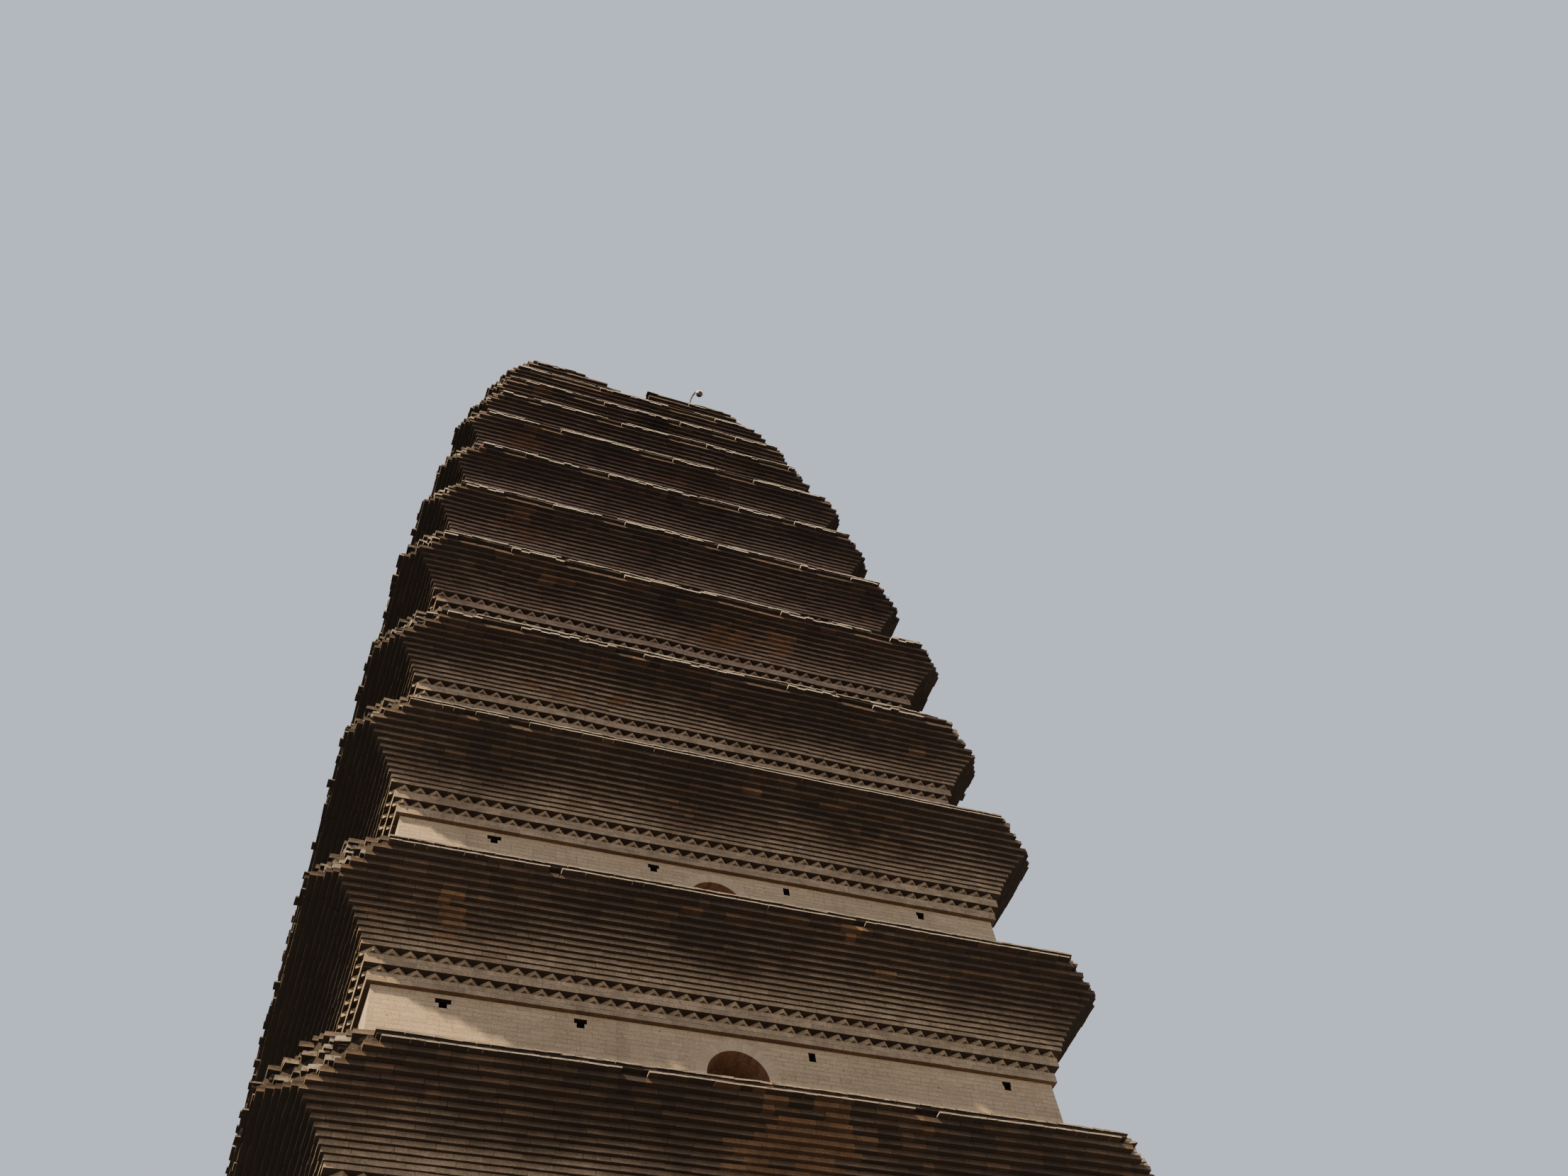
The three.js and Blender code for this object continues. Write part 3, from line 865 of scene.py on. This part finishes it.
def metal_finish():
    """Galvanised steel, grey and dull with weather, painted darker as shade."""
    finish = Finish("galvanised_steel", 0.6, metallic=0.4)
    spangle = finish.noise(40, 3)
    # The dark grey stands for the steel in shade: painted shade.
    return finish.done(finish.mix(spangle, colour(66, 70, 76), colour(92, 96, 102)), spangle, full(1), 0.3)


def lamp_finish(name, base, dust, roughness):
    """A painted or moulded shell with a little dust."""
    finish = Finish(name, roughness, specular=0.5)
    dusty = finish.spread(finish.noise(12, 5), 0.45, 0.7, 0, 0.5)
    return finish.done(finish.mix(dusty, base, dust))


# Pieces
def broken_runs(draw, storey, face):
    """Where bricks are missing from one edge: long ragged gaps high up, and few low down."""
    sides = []
    for side in range(4):
        if side == 0 and storey.number in FRONT_GAPS:
            sides.append(FRONT_GAPS[storey.number])
            continue
        kept, lost = RAGGED_RUNS if storey.ragged else LOW_RUNS
        if side == LEFT_SIDE:
            kept, lost = LEFT_RUNS
        gaps = []
        place = -face
        while place < face:
            start = place + draw.uniform(*kept) * BRICK_LENGTH
            place = start + draw.uniform(*lost) * BRICK_LENGTH
            gaps.append((start, place))
        sides.append(gaps)
    return sides


def edge_course(work, storey, course, parity):
    """The thin bricks of the edge, whitened by limewash and painted highlight, with gaps where some have
    fallen.
    """
    gaps = broken_runs(work.draw, storey, course.face)
    jitters = RAGGED_JITTERS if storey.ragged else EDGE_JITTERS
    height = RAGGED_HEIGHT if storey.ragged else EDGE_HEIGHT
    bottom = course.bottom + EDGE_LIFT
    work.course(course.face, bottom, height, course.cuts, parity, gaps, jitters, **EDGE_LOOKS)


def lip_course(work, storey, course, parity):
    """The first roof course: a dark groove under a thin rim. High up, ragged runs of a second
    rim are left over it."""
    cuts = course.cuts
    groove = course.face - LIP_GROOVE
    # The groove is painted near black: soot and painted shade.
    work.course(groove, course.bottom, GROOVE_HEIGHT, cuts, parity, wear=3, clean=CLEAN_GROOVE)
    gaps = broken_runs(work.draw, storey, course.face)
    if not storey.ragged:
        gaps = [gaps[side] if side == LEFT_SIDE else () for side in range(4)]
    bottom = course.bottom + GROOVE_HEIGHT
    work.course(course.face, bottom, LIP_HEIGHT, cuts, parity, gaps, **RIM_LOOKS)
    if storey.ragged and storey.number < STOREYS:
        face = course.face + LIP_EXTRA + LIP_SETBACK - RIM_SETBACK
        gaps = broken_runs(work.draw, storey, face)
        work.course(face - LIP_GROOVE, course.bottom + COURSE, GROOVE_HEIGHT, cuts, parity, gaps,
                    wear=8, clean=CLEAN_GROOVE)
        work.course(face, bottom + COURSE, LIP_HEIGHT, cuts, parity, gaps, **RIM_LOOKS)


def notch(work, edge_face, courses):
    """Backs the topmost courses with more bricks, and breaks a notch into their front."""
    for index, course in enumerate(courses):
        inner = course.face - NOTCH_DEPTH
        work.backing(course.face, inner, course.bottom, course.height, course.cuts, index, wear=8)
        slope = NOTCH_SLOPE * max(0, NOTCH_COURSES - 1 - index)
        low = (NOTCH[0] + slope, -edge_face - COURSE, course.bottom)
        high = (NOTCH[1], NOTCH_DEPTH - edge_face, course.bottom + COURSE)
        work.carve(low, high)


def eave_core(name, storey, courses, notched):
    """The masonry behind the bricks, a ring for each course. It lies deeper behind the teeth
    and the notch, and its top is a little lower than the bricks."""
    shape = bmesh.new()
    for index, course in enumerate(courses):
        recess = TOOTH_POCKET if course.kind == "teeth" else CORE_RECESS
        if index >= notched:
            recess = NOTCH_DEPTH
        cuts = [max(0, cut - 2 * recess + CUT_RECESS) if cut else 0 for cut in course.cuts]
        top = course.bottom + course.height
        if course is courses[-1]:
            top -= CORE_DROP
        core_ring(shape, course.face - recess, storey.shaft, cuts, course.bottom, top)
    return closed_mesh(name, shape)


def eave(storey):
    """Bands, rows of corner bricks, corbels, broken edge and sloping roof courses of one storey."""
    name = f"storey_{storey.number}_eave_bricks"
    work = Brickwork(EAVE_SEED + storey.number, HIGH_SAG if storey.ragged else LOW_SAG)
    courses = storey.eave_courses()
    notched = storey.edge + 1 - NOTCH_COURSES if storey.number == STOREYS else len(courses)
    for parity, course in enumerate(courses):
        cuts = [cut and max(0, cut + work.draw.uniform(-1, 1) * CUT_JITTER) for cut in course.cuts]
        kind, face, bottom, height, _, clean = course
        if kind == "teeth":
            work.teeth(face, bottom)
        elif kind == "edge":
            edge_course(work, storey, course._replace(cuts=cuts), parity)
        elif kind == "lip":
            lip_course(work, storey, course._replace(cuts=cuts), parity)
        else:
            work.course(face, bottom, height, cuts, parity, clean=clean, **COURSE_LOOKS[kind])
    last = courses[-1]
    work.backing(last.face, storey.seat, last.bottom, last.height, last.cuts, parity, **SEAT_LOOKS)
    notch(work, courses[storey.edge].face, courses[notched:])
    core = eave_core(name + "_core", storey, courses, notched)
    finished(laid(name, work, core, EAVE_BRICK), "eave_brick", f"storey_{storey.number}_eave")


def hole_outline(bar, top):
    """The outline of a T-shaped hole, or of a plain slot where the bar is the narrower one."""
    stem = min(bar, HOLE_STEM) / 2
    right = [(stem, top - 2 * COURSE), (bar / 2, top)]
    if bar > HOLE_STEM:
        right[1:1] = [(stem, top - COURSE), (bar / 2, top - COURSE)]
    left = [(-x, z) for x, z in reversed(right)]
    return left[-1:] + right + left[:-1]


def scaffold_holes(storey):
    """Holes left by the builders' poles, in a row under each cornice. Most are T-shaped."""
    shape = bmesh.new()
    for side in range(4):
        turn = Matrix.Rotation(side * math.pi / 2, 4, "Z")
        for bar, share in zip(HOLE_BARS, HOLE_PLACES[storey.number % 2]):
            middle = share * storey.half
            outline = hole_outline(bar, storey.top - HOLE_DROP)
            near = [turn @ Vector((middle + x, -storey.half - COURSE, z)) for x, z in outline]
            far = [turn @ Vector((middle + x, -storey.half + HOLE_DEPTH, z)) for x, z in outline]
            loft(shape, near, far)
    return add_object("holes", closed_mesh("holes", shape, HOLE_SHADE))


def wall(storey):
    """A storey's wall, with the scaffold holes cut into it."""
    node = f"storey_{storey.number}_wall"
    name = f"storey_{storey.number}_walling"
    shape = bmesh.new()
    shape.from_mesh(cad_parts[node].data)
    bmesh.ops.remove_doubles(shape, verts=shape.verts, dist=SAME_POINT)
    piece = add_object(name, closed_mesh(name, shape, WALL_BRICK))
    holes = scaffold_holes(storey)
    cut = piece.modifiers.new("holes", "BOOLEAN")
    cut.object = holes
    cut.operation = "DIFFERENCE"
    cut.solver = "EXACT"
    cut.material_mode = "TRANSFER"
    piece = applied(name, piece, holes)
    piece.data.polygons.foreach_set("use_smooth", [False] * len(piece.data.polygons))
    finished(piece, "wall_brick", node)


def opening_shape(storey):
    """Half width and springing of a storey's arched openings, as the solids have them."""
    if storey.number == 1:
        return DOOR_HALF, storey.base + DOOR_SPRING
    courses = round((storey.top - storey.base) / COURSE)
    sill = storey.base + COURSE
    apex = storey.top - math.floor(courses / LINTEL_PART + 0.5) * COURSE
    widest = WINDOW_HALF * storey.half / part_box("storey_2_wall")[1].x
    half = min(widest, WINDOW_WIDTH_SHARE * (apex - sill))
    return half, apex - half


def wedge_end(sign, y, spring, radii, angles):
    """The four corners of a wedge brick's end, at one depth in the front or back wall."""
    inner, outer = radii
    bottom, top = angles
    corners = []
    for radius, angle in ((inner, bottom), (outer, bottom), (outer, top), (inner, top)):
        corners.append((sign * radius * math.cos(angle), sign * y, spring + radius * math.sin(angle)))
    return corners


def arch_bricks(storey):
    """The ring of wedge bricks round each opening, and the rows behind it inside the arch."""
    half, spring = opening_shape(storey)
    count = 2 * round(math.pi * (half + ARCH_RING / 2) / COURSE / 2) + 1
    step = math.pi / count
    gap = WEDGE_GAP / half / 2
    draw = random.Random(ARCH_SEED + storey.number)
    shape = bmesh.new()
    tones = shape.faces.layers.float.new("tone")
    for sign, row, index in product((-1, 1), range(ARCH_ROWS), range(count)):
        tone = draw.random()
        outer = half + ARCH_BACK
        near = -storey.half + row * BRICK_WIDTH - BRICK_WIDTH / 2 * (index % 2)
        far = near + BRICK_WIDTH - JOINT
        if row == 0:
            outer = half + ARCH_RING
            near = -storey.half - ARCH_PROUD
        radii = (half * ARCH_SQUEEZE, outer)
        angles = (index * step + gap, (index + 1) * step - gap)
        ends = [wedge_end(sign, y, spring, radii, angles) for y in (near, far)]
        for face in loft(shape, *ends):
            face[tones] = tone
    name = f"storey_{storey.number}_arch_bricks"
    finished(add_object(name, closed_mesh(name, shape, ARCH_BRICK)), "wall_brick")


def ruin(top_storey):
    """The broken stub of the fallen storeys on top: ragged courses in three shrinking heaps."""
    low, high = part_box("ruined_top")
    work = Brickwork(RUIN_SEED)
    core = bmesh.new()
    count = math.floor((high.z - low.z) / COURSE)
    heaps = [index * len(RUIN_HALVES) // count for index in range(count)]
    for index, heap in enumerate(heaps):
        bottom = low.z + index * COURSE
        half = RUIN_HALVES[heap] - work.draw.uniform(0, 0.5) * BRICK_WIDTH
        cuts = [half * part * (1 + heap / len(RUIN_HALVES)) for part in RUIN_CORNERS]
        gaps = broken_runs(work.draw, top_storey, half)
        work.course(half, bottom, COURSE, cuts, index, gaps, **RUIN_LOOKS)
        if heap not in heaps[index + 1:]:
            work.backing(half, RUIN_SEATS[heap], bottom, COURSE, cuts, index, wear=ROUGH_WEAR)
        cuts = [max(RUIN_CORE_CUT, cut - 2 * CORE_RECESS + CUT_RECESS) for cut in cuts]
        outline = cut_square(half - CORE_RECESS, cuts)
        over, under = ([(x, y, bottom + rise - CORE_DROP) for x, y in outline] for rise in (COURSE, 0))
        loft(core, over, under)
    piece = laid("ruined_top_bricks", work, closed_mesh("ruin_core", core), EAVE_BRICK)
    finished(piece, "eave_brick", "ruined_top")


def coping():
    """Slabs of stone along the terrace's edge. Those of the front and back reach the corners."""
    low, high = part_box("terrace_coping")
    work = Brickwork(COPING_SEED)
    for side in range(4):
        end = high.x - COPING_WIDTH if side % 2 else high.x
        count = round(2 * end / COPING_STONE)
        length = 2 * end / count
        size = (length - COPING_JOINT, COPING_WIDTH - COPING_JOINT, high.z - low.z)
        for index in range(count):
            along = (index + 0.5) * length - end
            work.add(side, along, high.x - COPING_WIDTH / 2, (low.z + high.z) / 2, size, wear=0)
    piece = laid("terrace_coping_stones", work, bpy.data.meshes.new("no_core"), STONE)
    bevel = piece.modifiers.new("worn_edges", "BEVEL")
    bevel.width = COPING_BEVEL
    bevel.segments = 2
    finished(piece, "dressed_stone", "terrace_coping")


def lathe(name, profile, centre, material):
    """A closed round shape from a profile of (radius, height) points, from axis to axis."""
    shape = bmesh.new()
    rings = []
    for radius, height in profile:
        ring = []
        for i in range(ROUND_STEPS if radius else 1):
            angle = 2 * math.pi * i / ROUND_STEPS
            point = (centre.x + radius * math.cos(angle), centre.y + radius * math.sin(angle))
            ring.append(shape.verts.new((*point, centre.z + height)))
        rings.append(ring)
    for below, above in zip(rings, rings[1:]):
        for i in range(ROUND_STEPS):
            j = (i + 1) % ROUND_STEPS
            corners = [below[k % len(below)] for k in (i, j)] + [above[k % len(above)] for k in (j, i)]
            add_face(shape, *corners)
    return add_object(name, closed_mesh(name, shape, material))


def lamp():
    """A dark glass ball under a white hood, which hangs from the arm by its collar."""
    low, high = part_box("lamp_head")
    hook = Vector(((low.x + high.x) / 2, (low.y + high.y) / 2, high.z))
    radius = LAMP_SHARE * (high.x - low.x) / 2
    collar = 0.3 * radius
    collar_foot = -0.1 * radius
    hood_edge = -0.8 * radius
    ball_radius = 0.88 * radius
    ball_top = -0.98 * radius
    hood = [(0, -radius), (radius, -radius), (radius, hood_edge)]
    ball = [(0, -2 * radius)]
    for step in range(1, LAMP_RINGS):
        turn = math.pi / 2 * step / LAMP_RINGS
        hood.append((radius * math.cos(turn), hood_edge + (collar_foot - hood_edge) * math.sin(turn)))
        ball.append((ball_radius * math.sin(turn), -radius * (1 + math.cos(turn))))
    hood += [(collar, collar_foot), (collar, 0), (0, 0)]
    ball += [(ball_radius, ball_top), (0, ball_top)]
    finished(lathe("lamp_hood", hood, hook, LAMP_WHITE), "lamp_shell", "lamp_head")
    finished(lathe("lamp_ball", ball, hook, LAMP_GLASS), "lamp_shell", "lamp_head")


def paint(node, material):
    """Gives a solid that stays as it is its finish."""
    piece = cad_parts[node]
    piece.data.materials.clear()
    piece.data.materials.append(material)


# Surroundings
def ground():
    """A plain pale floor."""
    floor = bpy.data.meshes.new("studio_floor")
    reach = FLOOR_REACH
    outline = [(-reach, -reach), (reach, -reach), (reach, reach), (-reach, reach)]
    floor.from_pydata([(x, y, -FLOOR_DROP) for x, y in outline], [], [range(4)])
    floor.materials.append(Finish("studio_floor", 0.9).done(colour(158, 164, 172)))
    add_object("studio_floor", floor)


def light():
    """A pale sky, and a sun with soft shadows from the upper left."""
    world = bpy.data.worlds.new("studio")
    world.use_nodes = True
    background = world.node_tree.nodes["Background"]
    background.inputs["Color"].default_value = SKY_COLOUR
    background.inputs["Strength"].default_value = SKY_STRENGTH
    bpy.context.scene.world = world
    sun = bpy.data.lights.new("key", "SUN")
    sun.energy = SUN_ENERGY
    sun.angle = math.radians(SUN_ANGLE)
    sun.color = SUN_COLOUR
    key = add_object("key", sun)
    key.rotation_mode = "QUATERNION"
    key.rotation_quaternion = SUN_TOWARDS.to_track_quat("Z", "Y")


def camera():
    lens = bpy.data.cameras.new("camera")
    lens.lens = LENS
    lens.sensor_width = SENSOR
    lens.clip_end = FARTHEST
    stand = add_object("camera", lens)
    heading = Matrix.Rotation(-math.radians(CAMERA_HEADING), 4, "Z")
    pitch = Matrix.Rotation(math.radians(90 + CAMERA_PITCH), 4, "X")
    roll = Matrix.Rotation(math.radians(CAMERA_ROLL), 4, "Z")
    stand.matrix_world = Matrix.Translation(CAMERA_PLACE) @ heading @ pitch @ roll
    bpy.context.scene.camera = stand


EAVE_BRICK = EaveFinish().painted()
WALL_BRICK = walling("rubbed_wall_brick", colour(164, 149, 130), colour(140, 125, 107), colour(88, 75, 63),
                     start=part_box("terrace_coping")[1].z)
TERRACE_BRICK = walling("terrace_brick", colour(140, 133, 121), colour(112, 105, 95), colour(80, 75, 68),
                        start=0.0)
ARCH_BRICK = arch_finish()
HOLE_SHADE = hole_shade_finish()
STONE = stone_finish()
TIMBER = timber_finish()
METAL = metal_finish()
LAMP_WHITE = lamp_finish("white_shell", colour(228, 229, 227), colour(190, 188, 182), 0.35)
LAMP_GLASS = lamp_finish("smoked_glass", colour(16, 17, 20), colour(40, 40, 42), 0.3)
BRICK_LAYER, LAYER_INPUTS = brick_layer()

storeys = [Storey(number) for number in range(1, STOREYS + 1)]
for storey in storeys:
    eave(storey)
    wall(storey)
    arch_bricks(storey)
    if storey.number > 1:
        paint(f"storey_{storey.number}_floor", TIMBER)
ruin(storeys[-1])
coping()
lamp()
paint("terrace_core", TERRACE_BRICK)
for node in ("south_stair", "north_stair", "south_door_frame", "north_door_frame"):
    paint(node, STONE)
paint("lamp_arm", METAL)
ground()
light()
camera()
